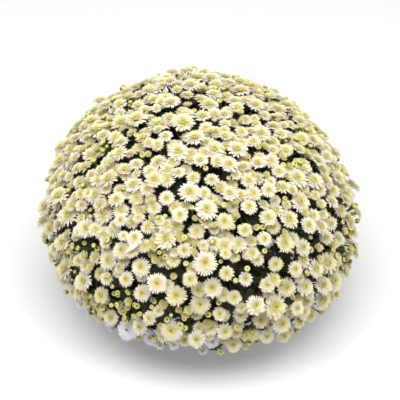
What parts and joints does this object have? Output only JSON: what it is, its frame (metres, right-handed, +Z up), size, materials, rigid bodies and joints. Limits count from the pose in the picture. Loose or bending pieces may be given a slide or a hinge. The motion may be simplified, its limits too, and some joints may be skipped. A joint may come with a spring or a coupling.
{
  "type": "pot chrysanthemum",
  "caption": "Cushion-shaped white chrysanthemum in a round plastic pot, its daisy-like flowers hiding the leaves and hanging out over the rim.",
  "frame": {"origin": "centre of the pot's flat base, on the surface that it stands on", "axes": "+Z up through the pot and the plant; the picture looks along +Y and down, with +X to its right"},
  "size_m": [0.556, 0.5549, 0.4022],
  "materials": {
    "pot_plastic": "moulded dark plastic, slightly satin",
    "peat_soil": null,
    "leaf_green": null,
    "petals": null
  },
  "bodies": {
    "root": {"pot": "pot_plastic", "soil": "peat_soil", "leafy_shoots_01": "leaf_green", "leafy_shoots_02": "leaf_green", "leafy_shoots_03": "leaf_green", "leafy_shoots_04": "leaf_green", "leafy_shoots_05": "leaf_green", "leafy_shoots_06": "leaf_green", "flower_spray_01": "petals", "flower_spray_02": "petals", "flower_spray_03": "petals", "flower_spray_04": "petals", "flower_spray_05": "petals", "flower_spray_06": "petals", "flower_spray_07": "petals", "flower_spray_08": "petals", "flower_spray_09": "petals", "flower_spray_10": "petals", "flower_spray_11": "petals", "flower_spray_12": "petals", "flower_spray_13": "petals", "flower_spray_14": "petals", "flower_spray_15": "petals", "flower_spray_16": "petals", "flower_spray_17": "petals", "flower_spray_18": "petals", "flower_spray_19": "petals", "flower_spray_20": "petals", "flower_spray_21": "petals", "flower_spray_22": "petals", "flower_spray_23": "petals", "flower_spray_24": "petals", "flower_spray_25": "petals", "flower_spray_26": "petals", "flower_spray_27": "petals", "flower_spray_28": "petals", "flower_spray_29": "petals", "flower_spray_30": "petals", "flower_spray_31": "petals", "flower_spray_32": "petals", "flower_spray_33": "petals", "flower_spray_34": "petals", "flower_spray_35": "petals", "flower_spray_36": "petals", "flower_spray_37": "petals", "flower_spray_38": "petals", "flower_spray_39": "petals", "flower_spray_40": "petals", "flower_spray_41": "petals", "flower_spray_42": "petals", "flower_spray_43": "petals", "flower_spray_44": "petals"}
  },
  "joints": []
}
